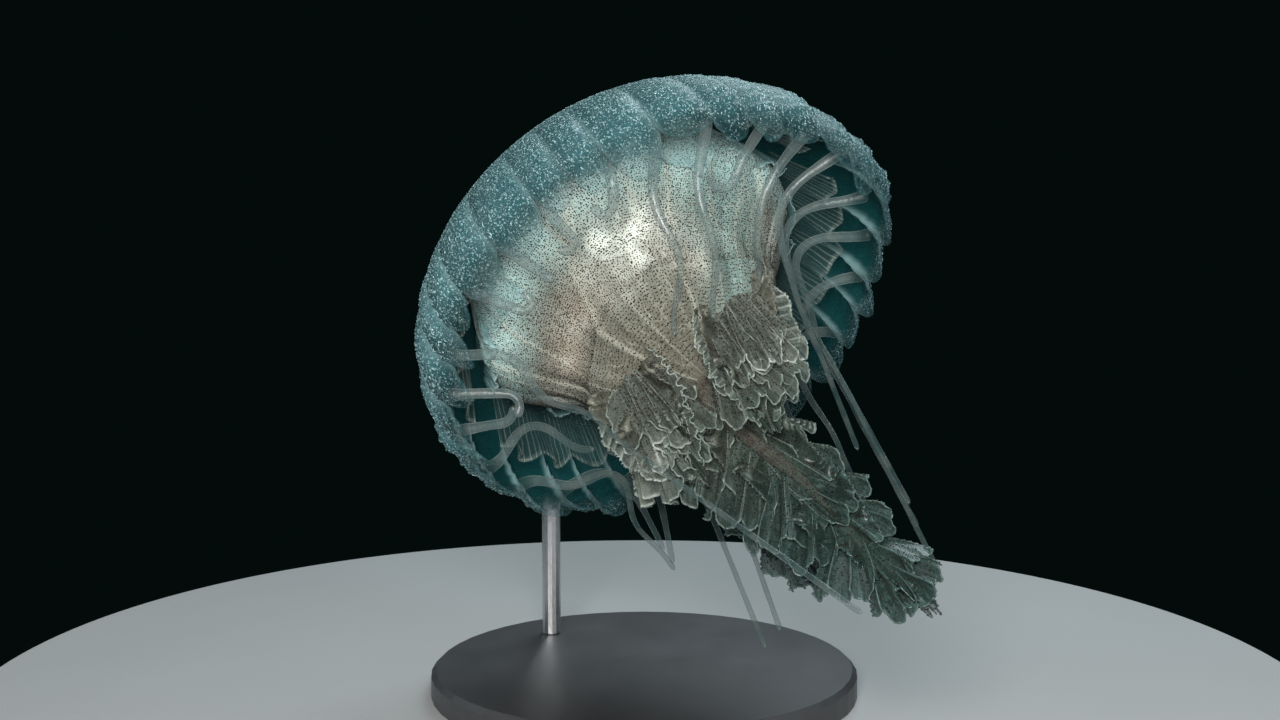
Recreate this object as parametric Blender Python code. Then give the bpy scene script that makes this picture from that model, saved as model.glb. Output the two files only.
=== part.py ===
"""A sea nettle jellyfish as a life-size still model on a display stand.

The animal is built in its own upright frame (metres, crown up, mouth at z = 0)
and then leaned over as one body onto the rod of the stand.
"""

from math import ceil, cos, degrees, pi, radians, sin

import bpy
from mathutils import Matrix, Vector

# Bell
BELL_RADIUS = 0.0735
BELL_HEIGHT = 0.049
BELL_FULLNESS = 0.92
CROWN_WALL = 0.0036
EDGE_WALL = 0.0011
CROWN_LIMIT = radians(48)
CLEFT_LIMIT = radians(92.5)
LAPPET_REACH = radians(15)
PUCKER_DEPTH = 0.0016
OCTANTS = 8
CLEFTS = (0.0, 9.0, 22.5, 36.0, 45.0)

# Stomach and mouth tube
STOMACH_RADIUS = 0.0500
STOMACH_LEVEL = 0.014
TUBE_RADIUS = 0.031
TUBE_LEVEL = -0.016

# Posture on the stand
LEAN = radians(58.4)
LEAN_HEADING = radians(121.9)
SPIN = radians(-133.1)
BODY_PLACE = Vector((0.004, -0.018, 0.122))

# Stand
BASE_RADIUS = 0.066
BASE_THICKNESS = 0.008
ROD_RADIUS = 0.003
CUP_RADIUS = 0.009
CUP_AZIMUTH = radians(133)
CUP_LIMIT = radians(73)

GAP = 0.0003

POSE = (
    Matrix.Translation(BODY_PLACE)
    @ Matrix.Rotation(LEAN_HEADING, 4, "Z")
    @ Matrix.Rotation(LEAN, 4, "Y")
    @ Matrix.Rotation(SPIN, 4, "Z")
)


def clear_scene():
    for obj in list(bpy.data.objects):
        bpy.data.objects.remove(obj, do_unlink=True)


def material(name, colour, roughness, metallic=0.0):
    made = bpy.data.materials.get(name) or bpy.data.materials.new(name)
    made.use_nodes = True
    shader = made.node_tree.nodes["Principled BSDF"]
    shader.inputs["Base Color"].default_value = (*colour, 1.0)
    shader.inputs["Roughness"].default_value = roughness
    shader.inputs["Metallic"].default_value = metallic
    return made


def add_object(name, points, faces, skin, pose=POSE):
    mesh = bpy.data.meshes.new(name)
    mesh.from_pydata([pose @ Vector(p) for p in points], [], faces)
    mesh.validate()
    mesh.shade_smooth()
    mesh.set_sharp_from_angle(angle=radians(50))
    mesh.materials.append(skin)
    made = bpy.data.objects.new(name, mesh)
    bpy.context.scene.collection.objects.link(made)
    return made


def smooth(x):
    x = min(1.0, max(0.0, x))
    return x * x * (3 - 2 * x)


# ---------------------------------------------------------------- bell


def profile(t, inset=0.0):
    """Radius and height of the bell's side at polar angle t, moved in by inset."""
    radius = BELL_RADIUS * sin(t) ** BELL_FULLNESS if t > 0 else 0.0
    height = BELL_HEIGHT * cos(t)
    if inset == 0.0 or t == 0.0:
        return radius, height - inset
    step = 0.01
    before = (BELL_RADIUS * sin(t - step) ** BELL_FULLNESS, BELL_HEIGHT * cos(t - step))
    after = (BELL_RADIUS * sin(t + step) ** BELL_FULLNESS, BELL_HEIGHT * cos(t + step))
    along = Vector((after[0] - before[0], after[1] - before[1])).normalized()
    return radius + along.y * inset, height - along.x * inset


def wall(t):
    return CROWN_WALL + (EDGE_WALL - CROWN_WALL) * smooth(t / CLEFT_LIMIT)


def lappet_place(azimuth):
    """How far across its lappet an azimuth lies: -1 and 1 in the clefts, 0 midway."""
    within = degrees(azimuth) % (360 / OCTANTS)
    for low, high in zip(CLEFTS, CLEFTS[1:]):
        if within <= high:
            return 2 * (within - low) / (high - low) - 1
    return -1.0


def scallop(azimuth):
    return max(0.0, 1 - abs(lappet_place(azimuth)) ** 2.4) ** (1 / 2.4)


def edge_limit(azimuth):
    return CLEFT_LIMIT + LAPPET_REACH * scallop(azimuth)


def bell_point(azimuth, t, inset=0.0):
    """A point of the bell; the margin is puckered into a lobe over each lappet."""
    radius, height = profile(t, inset)
    pucker = PUCKER_DEPTH * smooth((t - CROWN_LIMIT) / (CLEFT_LIMIT - CROWN_LIMIT))
    radius += pucker * (cos(pi / 2 * lappet_place(azimuth)) - 0.6)
    return (radius * cos(azimuth), radius * sin(azimuth), height)


def bell_crown(skin, columns=32, rows=5):
    limits = [CROWN_LIMIT * (i + 1) / rows for i in range(rows)]
    points = [(0, 0, BELL_HEIGHT), (0, 0, BELL_HEIGHT - CROWN_WALL)]
    for t in limits:
        for i in range(columns):
            points.append(bell_point(2 * pi * i / columns, t))
    for t in limits:
        for i in range(columns):
            points.append(bell_point(2 * pi * i / columns, t, wall(t)))
    outer, inner = 2, 2 + rows * columns
    faces = []
    for i in range(columns):
        j = (i + 1) % columns
        faces.append((0, outer + i, outer + j))
        faces.append((1, inner + j, inner + i))
        for row in range(rows - 1):
            a, b = outer + row * columns, outer + (row + 1) * columns
            faces.append((a + i, b + i, b + j, a + j))
            a, b = inner + row * columns, inner + (row + 1) * columns
            faces.append((a + j, b + j, b + i, a + i))
        a, b = outer + (rows - 1) * columns, inner + (rows - 1) * columns
        faces.append((a + i, b + i, b + j, a + j))
    add_object("bell_crown", points, faces, skin)


def octant_azimuths(octant):
    """Columns of one eighth of the margin: two to a narrow lappet, four to a wide one."""
    start = octant * 360 / OCTANTS
    found = [start + 0.13]
    for low, high, steps in zip(CLEFTS, CLEFTS[1:], (2, 4, 4, 2)):
        for i in range(1, steps + 1):
            across = sin(pi / 2 * (2 * i / steps - 1)) * 0.5 + 0.5
            found.append(start + low + (high - low) * across)
    found[-1] -= 0.13
    return [radians(a) for a in found]


def sheet(name, front, back, skin, pose=POSE):
    """A closed thick sheet between two equal grids of points, front facing out."""
    rows, columns = len(front), len(front[0])
    points = [p for row in front for p in row] + [p for row in back for p in row]
    half = rows * columns
    faces = []
    for r in range(rows - 1):
        for c in range(columns - 1):
            a = r * columns + c
            b = a + columns
            faces.append((a, b, b + 1, a + 1))
            faces.append((half + a + 1, half + b + 1, half + b, half + a))
    for r in range(rows - 1):
        a = r * columns
        b = a + columns
        faces.append((a, half + a, half + b, b))
        a += columns - 1
        b += columns - 1
        faces.append((b, half + b, half + a, a))
    last = (rows - 1) * columns
    for c in range(columns - 1):
        faces.append((c + 1, half + c + 1, half + c, c))
        a = last + c
        faces.append((a, half + a, half + a + 1, a + 1))
    return add_object(name, points, faces, skin, pose)


def bell_margin(octant, skin, rows=5):
    azimuths = octant_azimuths(octant)
    start = CROWN_LIMIT + 0.4 * GAP / BELL_RADIUS + 0.004
    front, back = [], []
    for r in range(rows + 1):
        share = 1 - (1 - r / rows) ** 1.2
        line = [(a, start + (edge_limit(a) - start) * share) for a in azimuths]
        front.append([bell_point(a, t) for a, t in line])
        back.append([bell_point(a, t, wall(t)) for a, t in line])
    sheet(f"bell_margin_{octant + 1}", front, back, skin)


# ---------------------------------------------------------------- stomach


def stomach_lobe(azimuth):
    """Four broad pillars run down the mouth tube, one to each arm."""
    return 1 + 0.045 * cos(4 * azimuth)


def stomach(skin, columns=32, side_rows=7):
    points, rings = [], []
    top = BELL_HEIGHT - CROWN_WALL - 0.0004
    points.append((0, 0, top))
    for i in (1, 2, 3, 4):
        t = CROWN_LIMIT * i / 5
        radius, height = profile(t, wall(t) + 0.0004)
        rings.append([(radius, height, 0.0)] * columns)
    shoulder, shoulder_height = radius, height
    for i in range(1, side_rows + 1):
        turn = i / side_rows
        if turn < 0.4:
            part = sin(turn / 0.4 * pi / 2)
            radius = shoulder + (STOMACH_RADIUS - shoulder) * part
            height = shoulder_height + (STOMACH_LEVEL - shoulder_height) * turn / 0.4
        else:
            part = (turn - 0.4) / 0.6
            radius = STOMACH_RADIUS + (TUBE_RADIUS - STOMACH_RADIUS) * smooth(part) ** 0.9
            height = STOMACH_LEVEL + (TUBE_LEVEL - STOMACH_LEVEL) * part
        rings.append([(radius, height, smooth(turn * 1.6))] * columns)
    for ring in rings:
        for i, (radius, height, lobed) in enumerate(ring):
            azimuth = 2 * pi * i / columns
            out = radius * (1 + (stomach_lobe(azimuth) - 1) * lobed)
            points.append((out * cos(azimuth), out * sin(azimuth), height))
    points.append((0, 0, TUBE_LEVEL + 0.002))
    end = len(points) - 1
    faces = []
    for i in range(columns):
        j = (i + 1) % columns
        faces.append((0, 1 + i, 1 + j))
        for r in range(len(rings) - 1):
            a, b = 1 + r * columns, 1 + (r + 1) * columns
            faces.append((a + i, b + i, b + j, a + j))
        a = 1 + (len(rings) - 1) * columns
        faces.append((end, a + j, a + i))
    add_object("stomach", points, faces, skin)


# ---------------------------------------------------------------- gonads


def gonad(number, skin, pleats=7):
    """A pleated translucent ribbon hung under the bell beside the stomach."""
    middle = radians(90 * number - 50)
    spread = radians(33)
    columns = pleats * 2
    front, back = [], []
    for r in range(3):
        v = r / 2
        outer, inner = [], []
        for c in range(columns + 1):
            azimuth = middle + spread * (2 * c / columns - 1)
            fold = (0.5 if c % 2 else -0.5) * (0.0012 + 0.0030 * v)
            radius = 0.0558 + 0.0045 * v + fold
            height = 0.0262 - 0.0150 * v + 0.0010 * (c % 2) * v
            outer.append(((radius + 0.0005) * cos(azimuth), (radius + 0.0005) * sin(azimuth), height))
            inner.append(((radius - 0.0005) * cos(azimuth), (radius - 0.0005) * sin(azimuth), height))
        front.append(outer)
        back.append(inner)
    sheet(f"gonad_{number}", front, back, skin)


# ---------------------------------------------------------------- oral arms

# Rib at root and tip (x, y), azimuth the arm faces, half width, length, sideways bend.
ARMS = {
    "arm_1": ((0.018, -0.009), (0.004, -0.013), -62, 0.0120, 0.052, 0.000),
    "arm_2": ((0.000, 0.015), (-0.008, 0.011), 82, 0.0120, 0.086, -0.008),
    "arm_3": ((-0.019, -0.008), (-0.018, -0.011), -118, 0.0120, 0.050, 0.000),
    "arm_4": ((-0.006, 0.001), (0.009, -0.003), -88, 0.0135, 0.120, -0.001),
}


def arm_frame(shape, s):
    """Centre of the arm's rib at share s of its length, and its outward and side directions."""
    root, tip, facing, width, length, bend = shape
    out = Vector((cos(radians(facing)), sin(radians(facing)), 0))
    across = Vector((-out.y, out.x, 0))
    centre = Vector(root).lerp(Vector(tip), s)
    level = TUBE_LEVEL - 0.0005 - length * s
    return Vector((centre.x + bend * sin(pi * s), centre.y, level)), out, across


def arm_width(shape, s):
    swell = 0.62 + 0.5 * sin(pi * min(1.0, s * 1.15 + 0.08)) ** 0.8
    taper = 1 - smooth((s - 0.72) / 0.34) * 0.72
    return shape[3] * swell * taper


def arm_point(shape, s, u, side):
    """Two frilled curtains, open outwards like a V, on a thick rib; side is the face."""
    centre, out, across = arm_frame(shape, s)
    half = arm_width(shape, s)
    ruffle = sin(2 * pi * (s * shape[4] / 0.017) + (1.9 if u > 0 else 0.0))
    lift = 0.42 * half * abs(u) ** 1.4 + 0.0030 * abs(u) ** 2 * ruffle
    thick = 0.0011 + 0.0022 * (1 - abs(u)) ** 2 * (1 - 0.6 * s)
    return centre + across * half * u + out * (lift + side * thick / 2)


def oral_arm(name, shape, skin, start, end, label, rows):
    front, back = [], []
    marks = (-1.0, -0.66, -0.3, 0.3, 0.66, 1.0)
    for r in range(rows + 1):
        s = start + (end - start) * r / rows
        front.append([arm_point(shape, s, u, 1) for u in marks])
        back.append([arm_point(shape, s, u, -1) for u in marks])
    sheet(f"{name}_{label}" if label else name, front, back, skin)


# ---------------------------------------------------------------- tentacles

# Cleft azimuth: length, turn length, drift sideways (x, y for 1 down); wave, hook and dip in degrees.
TENTACLES = {
    9.0: (0.130, 0.054, -0.15, 0.05, 14, 0, -15),
    22.5: (0.138, 0.048, -0.18, 0.10, 14, 0, -14),
    36.0: (0.112, 0.042, -0.15, 0.05, -6, 0, -5),
    54.0: (0.100, 0.038, -0.18, 0.05, -10, 0, 0),
    67.5: (0.084, 0.036, -0.22, 0.05, 0, 0, 0),
    81.0: (0.090, 0.045, -0.25, 0.05, -15, 0, 0),
    99.0: (0.100, 0.045, -0.25, 0.05, 0, 0, 10),
    112.5: (0.096, 0.045, -0.20, 0.05, 0, 0, 25),
    126.0: (0.060, 0.045, -0.35, 0.00, 0, 0, 25),
    144.0: (0.062, 0.050, -0.10, 0.00, 0, 0, 25),
    157.5: (0.080, 0.060, 0.00, 0.00, 35, 0, 25),
    171.0: (0.045, 0.080, 0.10, 0.00, -40, 0, 25),
    189.0: (0.021, 0.080, 0.10, 0.00, 0, -90, 25),
    202.5: (0.027, 0.080, 0.10, 0.00, 0, 110, 25),
    216.0: (0.168, 0.035, 0.26, -0.12, -24, 0, 45),
    234.0: (0.025, 0.080, 0.30, 0.00, 0, -190, 25),
    247.5: (0.020, 0.080, 0.10, 0.00, 0, 0, 25),
    261.0: (0.023, 0.080, 0.10, 0.00, 0, 170, 25),
    279.0: (0.025, 0.020, -0.80, 0.00, 0, 150, 25),
    292.5: (0.062, 0.050, -0.52, 0.20, 20, 0, 25),
    306.0: (0.060, 0.050, -0.52, 0.20, 14, 0, 25),
    324.0: (0.034, 0.030, -1.20, 0.20, 0, 170, -10),
    337.5: (0.050, 0.045, -0.60, 0.20, 0, 0, -5),
    351.0: (0.108, 0.048, -0.26, 0.10, 6, 0, -8),
}
TENTACLE_THICK = 0.0019
TENTACLE_THIN = 0.0008
WAVE_LENGTH = 0.040
CURL_AXIS = Vector((0, 0.766, 0.643))


def tentacle_route(azimuth, shape, steps):
    """Points from the cleft inwards, swinging round to drift below the mouth."""
    length, turn, drift_x, drift_y, wave, hook, dip = shape
    angle = radians(azimuth)
    out = Vector((cos(angle), sin(angle), 0))
    radius, height = profile(CLEFT_LIMIT, EDGE_WALL)
    place = out * (radius - 0.0027) + Vector((0, 0, height - 0.0005))
    first = -out * cos(radians(dip)) - Vector((0, 0, sin(radians(dip))))
    last = Vector((drift_x, drift_y, -1)).normalized()
    points = [place.copy()]
    step = length / steps
    for i in range(steps):
        s = (i + 0.5) * step
        heading = first.lerp(last, smooth(s / turn)).normalized()
        bend = radians(wave) * sin(2 * pi * s / WAVE_LENGTH)
        bend *= 1 - smooth((s - 0.045) / 0.040)
        bend += radians(hook) * smooth((s / length - 0.6) / 0.4)
        heading = Matrix.Rotation(bend, 3, CURL_AXIS) @ heading
        place = place + heading * step
        points.append(place.copy())
    return points


def tube(name, route, radii, skin, sides=5, pose=POSE, end_dip=0.0):
    """A closed tube along the route, with one ring of points at each place."""
    points, faces = [], []
    side = None
    for i, place in enumerate(route):
        ahead = route[min(i + 1, len(route) - 1)] - route[max(i - 1, 0)]
        ahead.normalize()
        side = ahead.orthogonal() if side is None else side - ahead * side.dot(ahead)
        side.normalize()
        other = ahead.cross(side)
        for k in range(sides):
            a = 2 * pi * k / sides
            points.append(place + (side * cos(a) + other * sin(a)) * radii[i])
    points.append(route[0])
    points.append(route[-1] - ahead * end_dip)
    first, last = len(points) - 2, len(points) - 1
    final = (len(route) - 1) * sides
    for k in range(sides):
        n = (k + 1) % sides
        faces.append((first, n, k))
        for i in range(len(route) - 1):
            a, b = i * sides, (i + 1) * sides
            faces.append((a + k, a + n, b + n, b + k))
        faces.append((last, final + k, final + n))
    return add_object(name, points, faces, skin, pose)


def tentacle(number, azimuth, shape, skin):
    length = shape[0]
    pieces = 2 if length > 0.085 else 1
    segments = max(4, ceil(length / 0.0085 / pieces)) * pieces
    fine = 8
    route = tentacle_route(azimuth, shape, segments * fine)[::fine]
    taper = []
    for i in range(segments + 1):
        drawn_out = smooth(length * i / segments / 0.095)
        taper.append(TENTACLE_THICK + (TENTACLE_THIN - TENTACLE_THICK) * drawn_out)
    name = f"tentacle_{number:02d}"
    if pieces == 1:
        tube(name, route, taper, skin)
        return
    cut = segments // 2
    upper, lower = route[: cut + 1], route[cut:]
    back = (upper[-2] - upper[-1]).normalized() * GAP * 0.8
    upper[-1] = upper[-1] + back
    ahead = (lower[1] - lower[0]).normalized() * GAP * 0.8
    lower[0] = lower[0] + ahead
    tube(name, upper, taper[: cut + 1], skin)
    tube(name + "_tip", lower, taper[cut:], skin)


# ---------------------------------------------------------------- stand


def stand_base(skin, columns=48):
    profile_points = ((BASE_RADIUS, 0.0), (BASE_RADIUS, BASE_THICKNESS - 0.0015), (BASE_RADIUS - 0.0015, BASE_THICKNESS))
    points, faces = [], []
    for radius, height in profile_points:
        for i in range(columns):
            a = 2 * pi * i / columns
            points.append((radius * cos(a), radius * sin(a), height))
    for r in range(2):
        for i in range(columns):
            j = (i + 1) % columns
            a, b = r * columns, (r + 1) * columns
            faces.append((a + i, a + j, b + j, b + i))
    faces.append(tuple(reversed(range(columns))))
    faces.append(tuple(range(2 * columns, 3 * columns)))
    add_object("stand_base", points, faces, skin, Matrix.Identity(4))


def stand_rod(skin):
    """An upright rod that bends to meet the bell square, with a shallow cup on its end."""
    here = POSE @ Vector(bell_point(CUP_AZIMUTH, CUP_LIMIT))
    inside = POSE @ Vector(bell_point(CUP_AZIMUTH, CUP_LIMIT, 0.01))
    normal = (here - inside).normalized()
    cup = here + normal * 0.0016
    neck = cup + normal * 0.012
    foot = Vector((neck.x + normal.x * 0.006, neck.y + normal.y * 0.006, BASE_THICKNESS + GAP))
    knee = Vector((foot.x, foot.y, neck.z + normal.z * 0.02))
    route = [foot, foot.lerp(knee, 0.5), knee]
    bend_end = cup + normal * 0.004
    for i in range(1, 7):
        u = i / 6
        corner = neck + normal * 0.004
        route.append(knee.lerp(corner, u).lerp(corner.lerp(bend_end, u), u))
    radii = [ROD_RADIUS] * len(route)
    route += [cup + normal * 0.0018, cup]
    radii += [CUP_RADIUS * 0.9, CUP_RADIUS]
    tube("stand_rod", route, radii, skin, 14, Matrix.Identity(4), 0.0008)


def build():
    clear_scene()
    bell = material("bell_jelly", (0.30, 0.50, 0.54), 0.25)
    belly = material("stomach_flesh", (0.62, 0.58, 0.47), 0.4)
    pleat = material("gonad_flesh", (0.45, 0.58, 0.56), 0.4)
    frill = material("arm_flesh", (0.50, 0.50, 0.42), 0.45)
    feeler = material("tentacle_flesh", (0.42, 0.48, 0.48), 0.35)
    plinth = material("stand_black", (0.03, 0.03, 0.035), 0.5)
    steel = material("stand_steel", (0.55, 0.56, 0.57), 0.3, 1.0)
    bell_crown(bell)
    for octant in range(OCTANTS):
        bell_margin(octant, bell)
    stomach(belly)
    for number in (1, 2, 3, 4):
        gonad(number, pleat)
    oral_arm("arm_1", ARMS["arm_1"], frill, 0.0, 1.0, "", 12)
    oral_arm("arm_3", ARMS["arm_3"], frill, 0.0, 1.0, "", 12)
    oral_arm("arm_2", ARMS["arm_2"], frill, 0.0, 0.497, "upper", 10)
    oral_arm("arm_2", ARMS["arm_2"], frill, 0.503, 1.0, "lower", 10)
    oral_arm("arm_4", ARMS["arm_4"], frill, 0.0, 0.498, "upper", 14)
    oral_arm("arm_4", ARMS["arm_4"], frill, 0.502, 1.0, "lower", 14)
    for number, (azimuth, shape) in enumerate(TENTACLES.items(), 1):
        tentacle(number, azimuth, shape, feeler)
    stand_base(plinth)
    stand_rod(steel)


build()
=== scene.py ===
from math import cos, pi, radians, sin, sqrt

import bmesh
import bpy
import numpy as np
from mathutils import Matrix, Vector


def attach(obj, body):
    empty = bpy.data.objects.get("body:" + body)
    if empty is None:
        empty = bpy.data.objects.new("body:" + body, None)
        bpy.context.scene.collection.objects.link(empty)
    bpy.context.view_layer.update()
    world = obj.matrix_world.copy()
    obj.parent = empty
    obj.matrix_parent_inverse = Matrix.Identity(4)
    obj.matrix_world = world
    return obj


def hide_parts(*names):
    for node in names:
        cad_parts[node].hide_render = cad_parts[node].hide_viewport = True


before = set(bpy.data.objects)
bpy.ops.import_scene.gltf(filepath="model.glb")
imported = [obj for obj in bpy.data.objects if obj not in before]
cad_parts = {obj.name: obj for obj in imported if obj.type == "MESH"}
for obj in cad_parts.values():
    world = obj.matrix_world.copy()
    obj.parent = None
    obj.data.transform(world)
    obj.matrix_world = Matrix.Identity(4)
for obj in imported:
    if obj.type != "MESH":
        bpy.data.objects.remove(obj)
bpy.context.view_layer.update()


# ---------------------------------------------------------------- bell
# The bell is a bowl of clear teal jelly, thick at the crown and thin at the hem, where it is
# puckered into lobes and cut into lappets. It is one closed skin, outside and inside.

BELL_RADIUS = 0.0735
BELL_HEIGHT = 0.049
BELL_FULLNESS = 0.92
CROWN_WALL = 0.0036
EDGE_WALL = 0.0011
CROWN_LIMIT = radians(48)
CLEFT_LIMIT = radians(92.5)
LAPPET_REACH = radians(15)
CLEFTS = np.array([0.0, 9.0, 22.5, 36.0, 45.0])
LAPPETS = 32

LEANED = (
    Matrix.Translation((0.004, -0.018, 0.122))
    @ Matrix.Rotation(radians(121.9), 4, "Z")
    @ Matrix.Rotation(radians(58.4), 4, "Y")
    @ Matrix.Rotation(radians(-133.1), 4, "Z")
)
TURN = np.array(LEANED.to_3x3())
PLACE = np.array(LEANED.translation)


def smooth(x):
    x = np.clip(x, 0.0, 1.0)
    return x * x * (3 - 2 * x)


def stack(x, y, z):
    return np.stack(np.broadcast_arrays(x, y, z), axis=-1)


def wrap_grid(name, columns, rows, form):
    """A grid primitive wrapped round a form of the upright animal, then leaned over with it.

    form(u, v) gives the points for shares u and v of the grid, and the marks to keep on them.
    """
    bpy.ops.object.select_all(action="DESELECT")
    bpy.ops.mesh.primitive_grid_add(x_subdivisions=columns, y_subdivisions=rows, size=1)
    made = bpy.context.object
    made.name = name
    mesh = made.data
    mesh.name = name
    flat = np.empty(len(mesh.vertices) * 3)
    mesh.vertices.foreach_get("co", flat)
    points, marks = form(flat[0::3] + 0.5, flat[1::3] + 0.5)
    mesh.vertices.foreach_set("co", (points @ TURN.T + PLACE).ravel())
    for mark, values in marks.items():
        kept = mesh.attributes.new(mark, "FLOAT", "POINT")
        kept.data.foreach_set("value", np.broadcast_to(values, len(mesh.vertices)).astype(np.float32))
    mesh.uv_layers.active.name = "grid"
    return made


def close_up(made):
    """Welds the grid's meeting edges and turns its faces outwards."""
    form = bmesh.new()
    form.from_mesh(made.data)
    bmesh.ops.remove_doubles(form, verts=form.verts, dist=2e-6)
    if form.calc_volume(signed=True) < 0:
        bmesh.ops.reverse_faces(form, faces=form.faces)
    form.to_mesh(made.data)
    form.free()
    made.data.shade_smooth()
    return made


def join(name, pieces):
    bpy.ops.object.select_all(action="DESELECT")
    for piece in pieces:
        piece.select_set(True)
    bpy.context.view_layer.objects.active = pieces[0]
    bpy.ops.object.join()
    pieces[0].name = name
    pieces[0].data.name = name
    return pieces[0]


def bell_side(t, inset):
    """Radius and height of the bell's side at polar angle t, moved in through the wall."""
    t = np.maximum(t, 1e-3)
    radius = BELL_RADIUS * np.sin(t) ** BELL_FULLNESS
    height = BELL_HEIGHT * np.cos(t)
    run = BELL_RADIUS * BELL_FULLNESS * np.sin(t) ** (BELL_FULLNESS - 1) * np.cos(t)
    fall = -BELL_HEIGHT * np.sin(t)
    length = np.hypot(run, fall)
    return np.maximum(radius + fall / length * inset, 0), height - run / length * inset


def bell_wall(t):
    return CROWN_WALL + (EDGE_WALL - CROWN_WALL) * smooth(t / CLEFT_LIMIT)


def across_lappet(share):
    """Azimuth and place across its lappet (-1 to 1) for a share of the way round the hem."""
    lappet = np.floor(np.minimum(share, 1 - 1e-9) * LAPPETS)
    across = np.sin(pi / 2 * (2 * (share * LAPPETS - lappet) - 1))
    octant, place = np.divmod(lappet, 4)
    low = CLEFTS[place.astype(int)]
    high = CLEFTS[place.astype(int) + 1]
    azimuth = octant * 45 + low + (high - low) * (across + 1) / 2
    return np.radians(azimuth), across, lappet


def scallop(across):
    return np.maximum(0, 1 - np.abs(across) ** 2.4) ** (1 / 2.4)


def lappet_reach(lappet):
    return LAPPET_REACH * (0.90 + 0.16 * np.sin(lappet * 2.1) + 0.08 * np.sin(lappet * 5.3))


def bell_points(azimuth, across, lappet, t, inset):
    radius, height = bell_side(t, inset)
    past = np.maximum(t - CLEFT_LIMIT, 0) / LAPPET_REACH
    radius = radius - 0.0034 * past**1.5 * (1 + 0.5 * np.sin(lappet * 3.3))
    hem = smooth((t - CROWN_LIMIT) / (CLEFT_LIMIT - CROWN_LIMIT))
    deep = 0.0032 * (1 + 0.30 * np.sin(lappet * 2.4 + 1)) * hem**1.6
    pucker = np.sqrt(np.maximum(0, 1 - np.abs(across) ** 2.4)) - 0.66 + 0.20 * np.sin(pi * across)
    swollen = 0.0028 * np.exp(-(((np.degrees(azimuth) + 170) % 360 - 176) / 15) ** 2)
    radius = radius + deep * pucker + hem * (swollen + 0.0006 * np.sin(3 * azimuth + 1))
    radius = radius + 0.0004 * hem * np.sin(t * 70 + 4 * np.sin(azimuth * 2) + lappet * 1.9)
    return stack(radius * np.cos(azimuth), radius * np.sin(azimuth), height)


def bell_form(u, v):
    azimuth, across, lappet = across_lappet(u)
    limit = CLEFT_LIMIT + lappet_reach(lappet) * scallop(across)
    outside = v < 0.55
    inside = v > 0.60
    along = np.where(outside, v / 0.55, np.where(inside, (1 - v) / 0.40, 1.0))
    rim = np.clip((v - 0.55) / 0.05, 0, 1)
    t = limit * (1 - (1 - along) ** 1.25) + 0.008 * np.sin(pi * rim)
    points = bell_points(azimuth, across, lappet, t, bell_wall(t) * rim)
    groove = smooth((np.abs(across - 0.25) - 0.55) / 0.45)
    septum = np.abs(np.sin(8 * azimuth + 0.25 * np.sin(t * 5))) * np.sin(t)
    marks = {
        "inside": smooth(rim),
        "polar": t / CLEFT_LIMIT,
        "groove": groove * (1 - smooth((np.abs(across) - 0.93) / 0.07)),
        "cleft": np.abs(across) ** 5 * smooth((t / CLEFT_LIMIT - 0.62) / 0.3),
        "septum": (1 - smooth(septum / 0.16)) * smooth(t * 3 - 0.6),
        "lappet": np.clip((t - CLEFT_LIMIT + 0.05) / (limit - CLEFT_LIMIT + 0.05), 0, 1),
    }
    return points, marks


class Wire:
    """A value or a vector on its way through a material."""

    def __init__(self, material, socket):
        self.material = material
        self.socket = socket

    def maths(self, operation, *others):
        return self.material.node("ShaderNodeMath", {"operation": operation}, self, *others)

    def __add__(self, other):
        return self.maths("ADD", other)

    __radd__ = __add__

    def __mul__(self, other):
        return self.maths("MULTIPLY", other)

    __rmul__ = __mul__

    def __sub__(self, other):
        return self.maths("SUBTRACT", other)

    def __rsub__(self, other):
        return self.material.node("ShaderNodeMath", {"operation": "SUBTRACT"}, other, self)

    def __truediv__(self, other):
        return self.maths("DIVIDE", other)

    def __pow__(self, other):
        return self.maths("POWER", other)

    def step(self, low, high, start=0.0, end=1.0):
        settings = {"interpolation_type": "SMOOTHSTEP"}
        return self.material.node("ShaderNodeMapRange", settings, self, low, high, start, end)


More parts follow.
